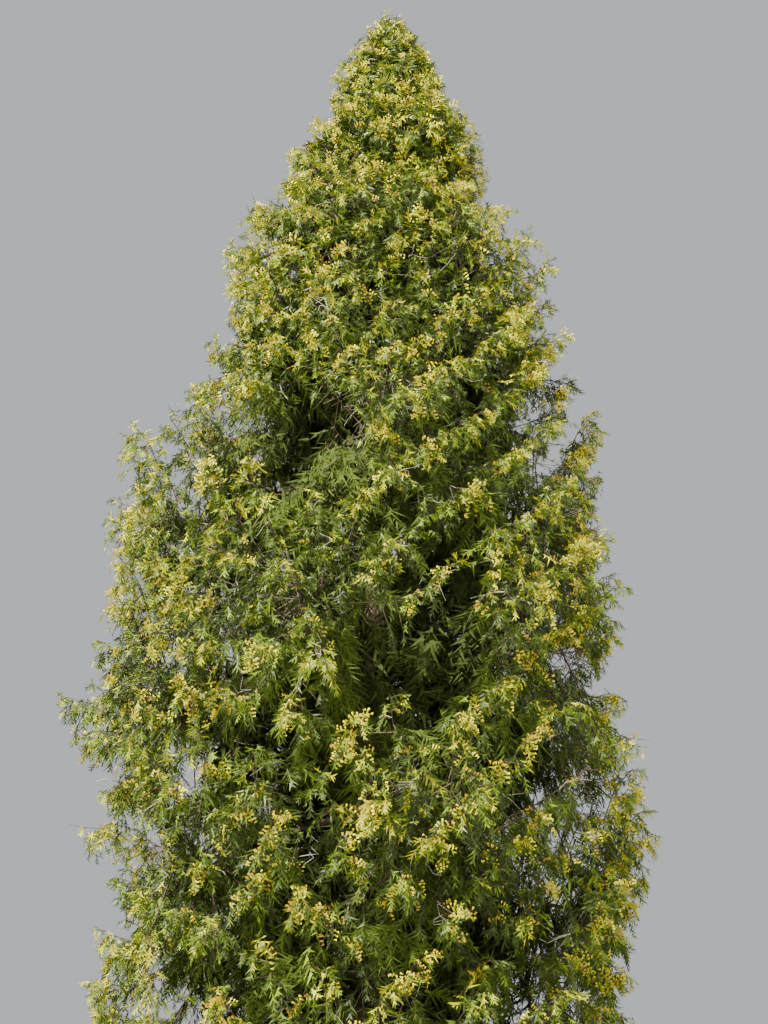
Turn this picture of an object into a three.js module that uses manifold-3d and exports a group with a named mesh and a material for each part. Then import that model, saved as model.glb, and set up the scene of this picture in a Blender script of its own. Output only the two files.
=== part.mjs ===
// Western red cedar: a whole tree as separate solids.
// Millimetres, +Z up, origin at the centre of the flat cut under the trunk, ground at z = 0.
// Azimuth 0 is +X, to the right of the front view; the front looks towards +Y.
import * as THREE from 'three';
import { mergeVertices } from 'three/addons/utils/BufferGeometryUtils.js';
import Module from 'manifold-3d';

const wasm = await Module();
wasm.setup();

// Trunk
const TRUNK_TOP = 14700;
const TRUNK_RADIUS = 208;
const TRUNK_TOP_RADIUS = 9;
const TRUNK_TAPER = 0.88;
const FLARE_RADIUS = 120;
const FLARE_HEIGHT = 420;
const FLUTES = 7;
const FLUTE_DEPTH = 0.13;
const FLUTE_HEIGHT = 750;
const TRUNK_LEAN = -60;
const TRUNK_SWAY = 28;
const TRUNK_SIDES = 14;
const TRUNK_RINGS = 19;
const RING_CROWDING = 1.8;

// Crown outline: how far the foliage reaches from the trunk at each height, to the left and right
const CROWN_LOWEST = 950;
const CROWN_TOP = 16000;
const CROWN = [
  { height: 900, left: 1480, right: 1420 },
  { height: 2000, left: 1980, right: 1900 },
  { height: 3200, left: 2140, right: 2040 },
  { height: 4800, left: 2150, right: 1990 },
  { height: 5500, left: 2140, right: 2040 },
  { height: 6300, left: 2310, right: 2280 },
  { height: 7150, left: 2620, right: 2140 },
  { height: 7450, left: 2700, right: 2180 },
  { height: 7900, left: 2240, right: 2280 },
  { height: 8600, left: 2420, right: 2180 },
  { height: 9200, left: 2500, right: 2020 },
  { height: 9380, left: 2440, right: 2030 },
  { height: 9560, left: 1860, right: 2040 },
  { height: 9800, left: 1760, right: 2060 },
  { height: 10500, left: 1760, right: 2180 },
  { height: 10900, left: 1600, right: 1620 },
  { height: 11300, left: 1500, right: 1660 },
  { height: 11800, left: 1620, right: 1840 },
  { height: 12200, left: 1540, right: 1300 },
  { height: 12650, left: 1260, right: 840 },
  { height: 12950, left: 1100, right: 1000 },
  { height: 13500, left: 1080, right: 1100 },
  { height: 13950, left: 640, right: 940 },
  { height: 14300, left: 620, right: 680 },
  { height: 14600, left: 700, right: 640 },
  { height: 15300, left: 430, right: 410 },
  { height: 15700, left: 240, right: 190 },
  { height: 16000, left: 70, right: 70 },
];

// Tiers of boughs, from the lowest; turn is the azimuth of a tier's first bough in degrees.
// rise is where a bough leaves the trunk above the middle of its mass, as a share of its reach
const TIERS = [
  { name: 'foot', height: 2200, half: 1080, count: 5, turn: 18, rise: 0.3, bough: true },
  { name: 'low', height: 3950, half: 1050, count: 5, turn: 54, rise: 0.27, bough: true },
  { name: 'mid', height: 5700, half: 1050, count: 5, turn: 0, rise: 0.24, bough: true },
  { name: 'waist', height: 7450, half: 1050, count: 5, turn: 36, rise: 0.18, bough: true },
  { name: 'shoulder', height: 9200, half: 1020, count: 4, turn: 0, rise: 0.05, bough: true },
  { name: 'neck', height: 10900, half: 960, count: 4, turn: 45, rise: -0.15, bough: false },
  { name: 'upper', height: 12450, half: 880, count: 3, turn: 0, rise: -0.4, bough: false },
  { name: 'top', height: 13800, half: 800, count: 3, turn: 60, rise: -0.7, bough: false },
];

// The mass round the leading shoot above the trunk's tip
const LEADER_HEIGHT = 15250;
const LEADER_HALF = 620;
const LEADER_TIP_RADIUS = 3;

// Boughs and the stems that carry on from them
const BOUGH_RUN = 0.34;
const BOUGH_ARCH = 0.05;
const BOUGH_SAG_RUN = 0.6;
const BOUGH_SAG = 0.2;
const STEM_REACH = 0.86;
const STEM_HOOK = 0.03;
const BOUGH_SHARE = 0.46;
const BOUGH_RADIUS = 46;
const BOUGH_TIP_RADIUS = 25;
const STEM_TIP_RADIUS = 7;
const BOUGH_SIDES = 6;
const BOUGH_RINGS = 3;
const STEM_SIDES = 4;
const STEM_RINGS = 3;

// Masses of foliage
const MASS_CENTRE = 0.66;
const MASS_MARGIN = 8;
const TRUNK_CLEARANCE = 45;
const LIMB_CLEARANCE = 30;
const CORE_MARGIN = 30;
const CORE_MIDDLE = 0.61;
const CORE_DEPTH = 0.14;
const CORE_WIDTH = 0.97;
const CORE_TILT = 0.06;
const CORE_LEAST = 0.66;
const CORE_SQUARENESS = 4;
const LEADER_CORE = 0.6;
const CLIMB_START = 9500;

// Twigs, one to each tip
const TIPS = 166;
const TOP_CROWDING = 0.62;
const GOLDEN_ANGLE = Math.PI * (3 - Math.sqrt(5));
const FIRST_TURN = 90;
const TIP_STEP = 5;
const TIP_REACH = [0.97, 1.03];
const TWIG_RADIUS = 17;
const TWIG_LEAST = 60;
const TWIG_SIDES = 3;

// Where twigs leave a stem: shares of its run, and how much nearer to the trunk than their tips
const FOOT_FIRST = 0.15;
const FOOT_LAST = 0.8;
const FOOT_FIRST_ON_TRUNK = 0.3;
const FOOT_STEPS = 8;
const FOOT_INWARD = 0.8;

// Toothed sprays: they hang on the broad part of the crown and rise at its top
const SPRAY_LENGTH = 660;
const SPRAY_WIDTH = 0.72;
const SPRAY_THICKNESS = 0.034;
const SPRAY_MIDDLE = 0.48;
const SPRAY_SUNK = 0.3;
const SPRAY_HANG = [-1, -2.1];
const SPRAY_RISE = [0.9, 2.2];
const SPRAY_SWING = 0.9;
const SPRAY_ROLL = 1.2;
const SPRAY_TEETH = [
  { along: 0.3, across: 0.42 },
  { along: 0.4, across: 0.2 },
  { along: 0.68, across: 0.46 },
  { along: 0.74, across: 0.16 },
];
const SPRAY_TRIES = [1, 0.8, 0.62];
const SPRAY_PULL = 0.5;

// Clear gap between solids that meet, and the distance at which two corners are one
const GAP = 0.3;
const SAME_PLACE = 1e-4;
const SEED = 20411;

const up = new THREE.Vector3(0, 0, 1);

const bark = new THREE.MeshStandardMaterial({ color: 0x6b5445, roughness: 0.92, metalness: 0 });
const foliage = new THREE.MeshStandardMaterial({ color: 0x5f7a2c, roughness: 0.7, metalness: 0 });

// Numbers between 0 and 1, always the same run of them
function makeRandom(seed) {
  let state = seed;
  return () => {
    state = (state * 48271) % 2147483647;
    return state / 2147483647;
  };
}

const random = makeRandom(SEED);

function between([from, to], share) {
  return THREE.MathUtils.lerp(from, to, share);
}

function toSolid(geometry) {
  geometry.deleteAttribute('normal');
  geometry.deleteAttribute('uv');
  const merged = mergeVertices(geometry, SAME_PLACE);
  return new wasm.Manifold(new wasm.Mesh({
    numProp: 3,
    vertProperties: new Float32Array(merged.attributes.position.array),
    triVerts: new Uint32Array(merged.index.array),
  }));
}

// The largest body of a solid, so a sealed hollow is filled and a loose scrap dropped
function largestBody(solid) {
  const bodies = solid.decompose();
  return bodies.reduce((best, body) => (body.volume() > best.volume() ? body : best));
}

function toMesh(solid, name, material) {
  const mesh = solid.getMesh();
  const geometry = new THREE.BufferGeometry();
  geometry.setAttribute('position', new THREE.BufferAttribute(mesh.vertProperties, 3));
  geometry.setIndex(new THREE.BufferAttribute(mesh.triVerts, 1));
  geometry.computeVertexNormals();
  const node = new THREE.Mesh(geometry, material);
  node.name = name;
  return node;
}

// Crown and trunk as functions of height

function crownReach(height, azimuth) {
  const last = CROWN.length - 1;
  const level = THREE.MathUtils.clamp(height, CROWN[0].height, CROWN[last].height);
  let row = 1;
  while (row < last && CROWN[row].height < level) row += 1;
  const below = CROWN[row - 1];
  const above = CROWN[row];
  const share = (level - below.height) / (above.height - below.height);
  const left = THREE.MathUtils.lerp(below.left, above.left, share);
  const right = THREE.MathUtils.lerp(below.right, above.right, share);
  return THREE.MathUtils.lerp(left, right, (1 + Math.cos(azimuth)) / 2);
}

function trunkCentre(height) {
  const share = height / TRUNK_TOP;
  return new THREE.Vector3(
    TRUNK_LEAN * share + TRUNK_SWAY * Math.sin(2 * Math.PI * share),
    TRUNK_SWAY * Math.sin(Math.PI * share),
    height,
  );
}

function trunkRadius(height) {
  const left = Math.max(0, 1 - height / TRUNK_TOP);
  return (TRUNK_RADIUS - TRUNK_TOP_RADIUS) * left ** TRUNK_TAPER + TRUNK_TOP_RADIUS
    + FLARE_RADIUS * Math.exp(-height / FLARE_HEIGHT);
}

function trunkSolid(extra) {
  const geometry = new THREE.CylinderGeometry(1, 1, 1, TRUNK_SIDES, TRUNK_RINGS);
  const place = geometry.attributes.position;
  for (let i = 0; i < place.count; i += 1) {
    const height = TRUNK_TOP * (place.getY(i) + 0.5) ** RING_CROWDING;
    const angle = Math.atan2(-place.getZ(i), place.getX(i));
    const flute = 1 + FLUTE_DEPTH * Math.cos(FLUTES * angle) * Math.exp(-height / FLUTE_HEIGHT);
    const radius = trunkRadius(height) * flute + extra;
    const centre = trunkCentre(height);
    place.setXYZ(i, centre.x + radius * place.getX(i), centre.y - radius * place.getZ(i), height);
  }
  return toSolid(geometry);
}

const trunk = trunkSolid(0);
const trunkKeepOut = trunkSolid(GAP);

// A round limb along a curve that tapers from one radius to another, 0 for a point
function limbSolid(curve, startRadius, endRadius, sides, rings) {
  const geometry = endRadius > 0
    ? new THREE.CylinderGeometry(1, 1, 1, sides, rings)
    : new THREE.ConeGeometry(1, 1, sides, rings);
  const frames = curve.computeFrenetFrames(rings, false);
  const place = geometry.attributes.position;
  for (let i = 0; i < place.count; i += 1) {
    const share = place.getY(i) + 0.5;
    const ring = Math.round(share * rings);
    const size = Math.hypot(place.getX(i), place.getZ(i)) > SAME_PLACE ? 1 : 0;
    const angle = Math.atan2(place.getZ(i), place.getX(i));
    const radius = size * THREE.MathUtils.lerp(startRadius, endRadius, share);
    const point = curve.getPoint(share)
      .addScaledVector(frames.binormals[ring], radius * Math.cos(angle))
      .addScaledVector(frames.normals[ring], radius * Math.sin(angle));
    place.setXYZ(i, point.x, point.y, point.z);
  }
  return toSolid(geometry);
}

// The stretch of a curve between two shares of its run
class Stretch extends THREE.Curve {
  constructor(curve, from, to) {
    super();
    this.curve = curve;
    this.from = from;
    this.to = to;
  }

  getPoint(share, target = new THREE.Vector3()) {
    return this.curve.getPoint(THREE.MathUtils.lerp(this.from, this.to, share), target);
  }
}

// Where each mass lies

function crownPoint(azimuth, distance, height) {
  return trunkCentre(height)
    .add(new THREE.Vector3(Math.cos(azimuth) * distance, Math.sin(azimuth) * distance, 0));
}

function planMass(tier, index) {
  const azimuth = THREE.MathUtils.degToRad(tier.turn + (360 / tier.count) * index);
  const reach = crownReach(tier.height, azimuth);
  const root = tier.height + tier.rise * reach;
  const path = new THREE.CubicBezierCurve3(
    crownPoint(azimuth, 0, root),
    crownPoint(azimuth, BOUGH_RUN * reach, root + BOUGH_ARCH * reach),
    crownPoint(azimuth, BOUGH_SAG_RUN * reach, tier.height - BOUGH_SAG * reach),
    crownPoint(azimuth, STEM_REACH * reach, tier.height + STEM_HOOK * reach),
  );
  return {
    name: `${tier.name}-${index + 1}`,
    tier,
    azimuth,
    path,
    stem: new Stretch(path, tier.bough ? BOUGH_SHARE + GAP / path.getLength() : 0, 1),
    centre: crownPoint(azimuth, MASS_CENTRE * reach, tier.height),
    outward: new THREE.Vector3(Math.cos(azimuth), Math.sin(azimuth), 0),
    tips: [],
  };
}

const masses = TIERS.flatMap((tier) =>
  Array.from({ length: tier.count }, (_, index) => planMass(tier, index)));

const leader = {
  name: 'leader',
  tier: { height: LEADER_HEIGHT, half: LEADER_HALF, bough: false },
  stem: new THREE.LineCurve3(trunkCentre(TRUNK_TOP + GAP), trunkCentre(CROWN_TOP)),
  centre: trunkCentre(LEADER_HEIGHT),
  outward: up,
  tips: [],
};
masses.push(leader);

// A mass keeps to the points that lie nearer to its centre than to any other mass's centre
// and beyond its bough's tip, or clear of the trunk. Each limit is a plane.
function spaceOf(mass) {
  const planes = masses.filter((other) => other !== mass).map((other) => {
    const normal = other.centre.clone().sub(mass.centre).normalize();
    const middle = other.centre.clone().add(mass.centre).multiplyScalar(0.5);
    return { normal, limit: normal.dot(middle) - MASS_MARGIN };
  });
  const inner = mass.outward.clone().negate();
  let start;
  if (mass === leader) {
    start = trunkCentre(TRUNK_TOP + LIMB_CLEARANCE);
  } else if (mass.tier.bough) {
    start = mass.path.getPoint(BOUGH_SHARE).addScaledVector(mass.outward, LIMB_CLEARANCE);
  } else {
    const lowest = mass.tier.height - 2 * mass.tier.half;
    start = crownPoint(mass.azimuth, trunkRadius(lowest) + TRUNK_CLEARANCE, mass.tier.height);
  }
  planes.push({ normal: inner, limit: inner.dot(start) });
  planes.push({ normal: up, limit: CROWN_TOP });
  planes.push({ normal: up.clone().negate(), limit: -CROWN_LOWEST });
  return planes;
}

masses.forEach((mass) => {
  mass.space = spaceOf(mass);
});

function isInside(mass, point) {
  return mass.space.every((plane) => plane.normal.dot(point) < plane.limit);
}

function massAt(point) {
  return masses.reduce((best, mass) =>
    (mass.centre.distanceToSquared(point) < best.centre.distanceToSquared(point) ? mass : best));
}

// 0 up to the broad part of the crown, 1 at its top
function climbAt(height) {
  return THREE.MathUtils.clamp((height - CLIMB_START) / (CROWN_TOP - CLIMB_START), 0, 1);
}

function tipShare(height) {
  const spacing = THREE.MathUtils.lerp(1, TOP_CROWDING, climbAt(height));
  return (crownReach(height, 0) + crownReach(height, Math.PI)) / spacing ** 2;
}

// Tips stand evenly over the crown, each turned from the last by the golden angle
function placeTips() {
  let whole = 0;
  for (let height = CROWN_LOWEST; height < CROWN_TOP; height += TIP_STEP) whole += tipShare(height);
  let area = 0;
  let azimuth = THREE.MathUtils.degToRad(FIRST_TURN);
  for (let height = CROWN_LOWEST; height < CROWN_TOP; height += TIP_STEP) {
    area += tipShare(height) / whole * TIPS;
    if (area >= 1) {
      area -= 1;
      azimuth += GOLDEN_ANGLE;
      const distance = crownReach(height, azimuth) * between(TIP_REACH, random());
      const point = crownPoint(azimuth, distance, height);
      massAt(point).tips.push({ point, azimuth, height });
    }
  }
}

placeTips();

// The dense inner part of a mass: an uneven shell that follows the crown, square enough
// to fill its mass's space, higher parts nearer to the trunk
function coreSolid(mass) {
  const { tier } = mass;
  const geometry = new THREE.IcosahedronGeometry(1, 1);
  geometry.deleteAttribute('normal');
  geometry.deleteAttribute('uv');
  const ball = mergeVertices(geometry, SAME_PLACE);
  const place = ball.attributes.position;
  for (let i = 0; i < place.count; i += 1) {
    const corner = [place.getX(i), place.getY(i), place.getZ(i)];
    const sum = corner.reduce((total, part) => total + Math.abs(part) ** CORE_SQUARENESS, 0);
    const lump = THREE.MathUtils.lerp(CORE_LEAST, 1, random()) / sum ** (1 / CORE_SQUARENESS);
    const [x, y, z] = corner.map((part) => part * lump);
    const height = tier.height + z * tier.half;
    let point;
    if (mass === leader) {
      const distance = crownReach(height, 0) * LEADER_CORE;
      point = trunkCentre(height).add(new THREE.Vector3(x * distance, y * distance, 0));
    } else {
      const azimuth = mass.azimuth + y * CORE_WIDTH * Math.PI / tier.count;
      const share = CORE_MIDDLE + x * CORE_DEPTH - z * CORE_TILT;
      point = crownPoint(azimuth, crownReach(height, azimuth) * share, height);
    }
    const offset = point.sub(mass.centre);
    for (const plane of mass.space) {
      const run = plane.normal.dot(offset);
      const room = plane.limit - plane.normal.dot(mass.centre) - CORE_MARGIN;
      if (run > room) offset.multiplyScalar(room / run);
    }
    place.setXYZ(i, mass.centre.x + offset.x, mass.centre.y + offset.y, mass.centre.z + offset.z);
  }
  return toSolid(ball);
}

// A toothed blade, thick along its middle and thin at its edge
function spraySolid(root, along, across, length) {
  const face = new THREE.Vector3().crossVectors(along, across).normalize();
  const at = (x, y, z) => root.clone()
    .addScaledVector(along, x * length)
    .addScaledVector(across, y * length * SPRAY_WIDTH)
    .addScaledVector(face, z * length * SPRAY_THICKNESS / 2);
  const left = SPRAY_TEETH.map((tooth) => at(tooth.along, -tooth.across, 0));
  const right = SPRAY_TEETH.map((tooth) => at(tooth.along, tooth.across, 0)).reverse();
  const outline = [at(0, 0, 0), ...left, at(1, 0, 0), ...right];
  const points = [...outline, at(SPRAY_MIDDLE, 0, 1), at(SPRAY_MIDDLE, 0, -1)];
  const top = outline.length;
  const index = [];
  outline.forEach((_, i) => {
    const next = (i + 1) % outline.length;
    index.push(i, next, top, next, i, top + 1);
  });
  const geometry = new THREE.BufferGeometry().setFromPoints(points);
  geometry.setIndex(index);
  return { solid: toSolid(geometry), points };
}

// The middle of the faceted stem at a share of its run
function stemPoint(mass, share) {
  const run = share * STEM_RINGS;
  const ring = Math.min(Math.floor(run), STEM_RINGS - 1);
  const from = mass.stem.getPoint(ring / STEM_RINGS);
  const to = mass.stem.getPoint((ring + 1) / STEM_RINGS);
  return from.lerp(to, run - ring);
}

function footOnStem(mass, tip) {
  const first = mass.tier.bough ? FOOT_FIRST : FOOT_FIRST_ON_TRUNK;
  let best = null;
  for (let step = 0; step <= FOOT_STEPS; step += 1) {
    const point = stemPoint(mass, between([first, FOOT_LAST], step / FOOT_STEPS));
    const inward = mass === leader || trunkCentre(point.z).distanceTo(point)
      < FOOT_INWARD * trunkCentre(tip.z).distanceTo(tip);
    const nearer = best === null || point.distanceTo(tip) < best.distanceTo(tip);
    if (inward && nearer && isInside(mass, point)) best = point;
  }
  return best;
}

// A twig from the stem to a tip and the spray at its end, nothing where they have no room
function growTwig(mass, tip) {
  const roll = SPRAY_ROLL * (random() - 0.5);
  const swing = SPRAY_SWING * (random() - 0.5);
  const dip = random();
  const climb = climbAt(tip.height);
  const slope = between([between(SPRAY_HANG, dip), between(SPRAY_RISE, dip)], climb);
  const outward = new THREE.Vector3(Math.cos(tip.azimuth), Math.sin(tip.azimuth), slope);
  const side = new THREE.Vector3(-Math.sin(tip.azimuth), Math.cos(tip.azimuth), 0);
  const along = outward.addScaledVector(side, swing).normalize();
  const across = new THREE.Vector3().crossVectors(up, along).normalize().applyAxisAngle(along, roll);
  const foot = footOnStem(mass, tip.point);
  if (foot === null) return [];
  for (const scale of SPRAY_TRIES) {
    const length = SPRAY_LENGTH * scale * THREE.MathUtils.lerp(1, TOP_CROWDING, climb);
    const point = tip.point.clone().lerp(mass.centre, SPRAY_PULL * (1 - scale));
    const root = point.clone().addScaledVector(along, -length);
    const spray = spraySolid(root, along, across, length);
    const end = root.clone().addScaledVector(along, SPRAY_SUNK * length);
    const fits = spray.points.every((corner) => isInside(mass, corner));
    if (fits && foot.distanceTo(end) > TWIG_LEAST) {
      return [limbSolid(new THREE.LineCurve3(foot, end), TWIG_RADIUS, 0, TWIG_SIDES, 1), spray.solid];
    }
  }
  return [];
}

function stemSolid(mass) {
  if (mass === leader) {
    return limbSolid(mass.stem, TRUNK_TOP_RADIUS, LEADER_TIP_RADIUS, STEM_SIDES, STEM_RINGS);
  }
  const sides = mass.tier.bough ? BOUGH_SIDES : STEM_SIDES;
  return limbSolid(mass.stem, BOUGH_TIP_RADIUS, STEM_TIP_RADIUS, sides, STEM_RINGS)
    .subtract(trunkKeepOut);
}

function massSolid(mass) {
  const pieces = [stemSolid(mass), coreSolid(mass)];
  mass.tips.forEach((tip) => {
    pieces.push(...growTwig(mass, tip));
  });
  return largestBody(wasm.Manifold.union(pieces));
}

function boughSolid(mass) {
  const stretch = new Stretch(mass.path, 0, BOUGH_SHARE);
  return limbSolid(stretch, BOUGH_RADIUS, BOUGH_TIP_RADIUS, BOUGH_SIDES, BOUGH_RINGS)
    .subtract(trunkKeepOut);
}

const tree = new THREE.Group();
tree.add(toMesh(trunk, 'trunk', bark));
masses.filter((mass) => mass.tier.bough).forEach((mass) => {
  tree.add(toMesh(boughSolid(mass), `bough-${mass.name}`, bark));
});
masses.forEach((mass) => {
  tree.add(toMesh(massSolid(mass), `mass-${mass.name}`, foliage));
});

export default tree;
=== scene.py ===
import math

import bpy
import numpy as np
from mathutils import Matrix, Vector, noise


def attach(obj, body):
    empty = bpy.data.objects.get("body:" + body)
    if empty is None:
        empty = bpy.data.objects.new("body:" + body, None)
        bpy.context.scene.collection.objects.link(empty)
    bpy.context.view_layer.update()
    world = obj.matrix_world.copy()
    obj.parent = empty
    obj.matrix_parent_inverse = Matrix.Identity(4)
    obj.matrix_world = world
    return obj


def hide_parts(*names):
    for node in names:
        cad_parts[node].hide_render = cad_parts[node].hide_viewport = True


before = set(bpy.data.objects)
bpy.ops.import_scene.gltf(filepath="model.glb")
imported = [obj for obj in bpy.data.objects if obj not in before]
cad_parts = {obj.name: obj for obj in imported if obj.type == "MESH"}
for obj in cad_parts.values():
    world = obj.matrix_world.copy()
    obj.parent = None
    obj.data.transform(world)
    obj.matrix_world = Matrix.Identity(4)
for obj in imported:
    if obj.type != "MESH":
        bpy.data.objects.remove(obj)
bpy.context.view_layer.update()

UP = Vector((0, 0, 1))

# Camera
# It stands at eye height on the ground in front of the tree and looks up into the crown,
# turned a little, as in the photo.
EYE = Vector((0, -11.5, 1.6))
LOOK_UP = math.radians(33.5)
CAMERA_TURN = math.radians(1.6)
FOCAL_PIXELS = 1540
LONG_SIDE_PIXELS = 1024
SENSOR = 36

camera_data = bpy.data.cameras.new("camera")
camera_data.sensor_width = SENSOR
camera_data.lens = SENSOR * FOCAL_PIXELS / LONG_SIDE_PIXELS
camera = bpy.data.objects.new("camera", camera_data)
bpy.context.scene.collection.objects.link(camera)
camera.matrix_world = (
    Matrix.Translation(EYE)
    @ Matrix.Rotation(math.pi / 2 + LOOK_UP, 4, "X")
    @ Matrix.Rotation(CAMERA_TURN, 4, "Z")
)
bpy.context.scene.camera = camera

# Trunk
# One straight stem from the flat cut at the ground to its thin tip, with a fluted root flare.
# Its bark is thin and fibrous, and splits into long narrow strips with dark furrows between.
TRUNK_TOP = 14.7
TRUNK_RADIUS = 0.208
TRUNK_TOP_RADIUS = 0.009
TRUNK_TAPER = 0.88
FLARE_RADIUS = 0.12
FLARE_HEIGHT = 0.42
FLUTES = 7
FLUTE_DEPTH = 0.13
FLUTE_HEIGHT = 0.75
TRUNK_LEAN = -0.06
TRUNK_SWAY = 0.028
TRUNK_SIDES = 168
TRUNK_RINGS = 92
RING_CROWDING = 2.0
STRIPS_ACROSS = 17
STRIPS_ALONG = 1.3
STRIP_EDGE = 4
FURROW_SHARE = 0.06
STRIP_PATTERN = ((30, 30, 1.2), 5, 0.62)
FIBRE_PATTERN = ((210, 210, 5), 4, 0.6)
FIBRE_EDGES = (0.36, 0.64)
FIBRE_CONTRAST = 0.9
BARK_STOPS = (0.20, 0.48, 0.75)
BARK_BUMP = (0.004, 0.8)
BARK_SPECULAR = 0.25
TRUNK_COLOURS = ((0.035, 0.022, 0.015), (0.135, 0.088, 0.056), (0.26, 0.205, 0.155))
TRUNK_ROUGHNESS = 0.92


def trunk_centre(height):
    """The middle of the trunk at a height"""
    share = height / TRUNK_TOP
    return Vector((
        TRUNK_LEAN * share + TRUNK_SWAY * math.sin(2 * math.pi * share),
        TRUNK_SWAY * math.sin(math.pi * share),
        height,
    ))


def trunk_radius(height):
    """The trunk's radius at a height, without its flutes"""
    left = max(0, 1 - height / TRUNK_TOP)
    taper = (TRUNK_RADIUS - TRUNK_TOP_RADIUS) * left ** TRUNK_TAPER + TRUNK_TOP_RADIUS
    return taper + FLARE_RADIUS * math.exp(-height / FLARE_HEIGHT)


def strip_height(around, along):
    """From 1 on a strip of bark down to 0 in a furrow"""
    spot = Vector((around.x * STRIPS_ACROSS, around.y * STRIPS_ACROSS, along * STRIPS_ALONG))
    return min(1, abs(noise.noise(spot)) * STRIP_EDGE)


def skin(name, tubes):
    """One mesh of closed tubes, each a list of rings of points with the bark's height there"""
    points = []
    strips = []
    faces = []
    for rings in tubes:
        start = len(points)
        sides = len(rings[0])
        for ring in rings:
            points.extend(point for point, _ in ring)
            strips.extend(strip for _, strip in ring)
        for low in range(start, start + (len(rings) - 1) * sides, sides):
            for i in range(sides):
                after = (i + 1) % sides
                faces.append((low + i, low + after, low + sides + after, low + sides + i))
        faces.append(tuple(range(start + sides - 1, start - 1, -1)))
        faces.append(tuple(range(len(points) - sides, len(points))))
    mesh = bpy.data.meshes.new(name)
    mesh.from_pydata(points, [], faces)
    mesh.attributes.new("strip", "FLOAT", "POINT").data.foreach_set("value", strips)
    mesh.shade_smooth()
    piece = bpy.data.objects.new(name, mesh)
    bpy.context.scene.collection.objects.link(piece)
    return piece


def trunk_ring(height):
    """A ring of points round the trunk, with its flutes and its bark"""
    ring = []
    for i in range(TRUNK_SIDES):
        angle = 2 * math.pi * i / TRUNK_SIDES
        out = Vector((math.cos(angle), math.sin(angle), 0))
        flute = 1 + FLUTE_DEPTH * math.cos(FLUTES * angle) * math.exp(-height / FLUTE_HEIGHT)
        radius = trunk_radius(height)
        strip = strip_height(out * radius, height)
        furrow = FURROW_SHARE * radius * (strip - 1)
        ring.append((trunk_centre(height) + out * (radius * flute + furrow), strip))
    return ring


def node(tree, kind, **values):
    """A new node whose named inputs are set to values or linked to sockets"""
    made = tree.nodes.new(kind)
    for key, value in values.items():
        socket = made.inputs[key.replace("_", " ")]
        if isinstance(value, bpy.types.NodeSocket):
            tree.links.new(value, socket)
        else:
            socket.default_value = value
    return made


def bark_noise(tree, pattern):
    """Noise in the object's own space, with a pattern's scale along each axis and its grain"""
    scale, detail, roughness = pattern
    place = tree.nodes.new("ShaderNodeTexCoord").outputs["Object"]
    spot = node(tree, "ShaderNodeMapping", Vector=place, Scale=scale)
    return node(
        tree, "ShaderNodeTexNoise", Vector=spot.outputs[0],
        Scale=1, Detail=detail, Roughness=roughness,
    )


def bark_material(name, bark_colours, roughness):
    """Fibrous bark, stretched upwards: furrows, strips and weathered fibres, each its colour"""
    material = bpy.data.materials.new(name)
    material.use_nodes = True
    tree = material.node_tree
    shader = tree.nodes["Principled BSDF"]
    strips = bark_noise(tree, STRIP_PATTERN)
    fibres = bark_noise(tree, FIBRE_PATTERN)
    sharp = node(
        tree, "ShaderNodeMapRange", Value=fibres.outputs["Fac"],
        From_Min=FIBRE_EDGES[0], From_Max=FIBRE_EDGES[1],
    )
    colours = node(tree, "ShaderNodeValToRGB", Fac=strips.outputs["Fac"])
    ramp = colours.color_ramp.elements
    ramp.new(BARK_STOPS[1])
    for stop, position, colour in zip(ramp, BARK_STOPS, bark_colours):
        stop.position = position
        stop.color = (*colour, 1)
    streaks = tree.nodes.new("ShaderNodeMix")
    streaks.data_type = "RGBA"
    streaks.blend_type = "SOFT_LIGHT"
    streaks.inputs["Factor"].default_value = FIBRE_CONTRAST
    tree.links.new(colours.outputs["Color"], streaks.inputs["A"])
    tree.links.new(sharp.outputs["Result"], streaks.inputs["B"])
    strip_edge = tree.nodes.new("ShaderNodeAttribute")
    strip_edge.attribute_name = "strip"
    furrowed = tree.nodes.new("ShaderNodeMix")
    furrowed.data_type = "RGBA"
    furrowed.inputs["A"].default_value = (*bark_colours[0], 1)
    tree.links.new(streaks.outputs["Result"], furrowed.inputs["B"])
    tree.links.new(strip_edge.outputs["Fac"], furrowed.inputs["Factor"])
    tree.links.new(furrowed.outputs["Result"], shader.inputs["Base Color"])
    height = node(tree, "ShaderNodeMath", Value=strips.outputs["Fac"])
    height.operation = "ADD"
    tree.links.new(sharp.outputs["Result"], height.inputs[1])
    bump = node(
        tree, "ShaderNodeBump", Height=height.outputs[0],
        Distance=BARK_BUMP[0], Strength=BARK_BUMP[1],
    )
    tree.links.new(bump.outputs["Normal"], shader.inputs["Normal"])
    shader.inputs["Roughness"].default_value = roughness
    shader.inputs["Specular IOR Level"].default_value = BARK_SPECULAR
    return material


heights = [TRUNK_TOP * (i / TRUNK_RINGS) ** RING_CROWDING for i in range(TRUNK_RINGS + 1)]
trunk = skin("trunk-bark", [[trunk_ring(height) for height in heights]])
trunk.data.materials.append(bark_material("trunk_bark", TRUNK_COLOURS, TRUNK_ROUGHNESS))
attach(trunk, "root")
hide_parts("trunk")

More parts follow.
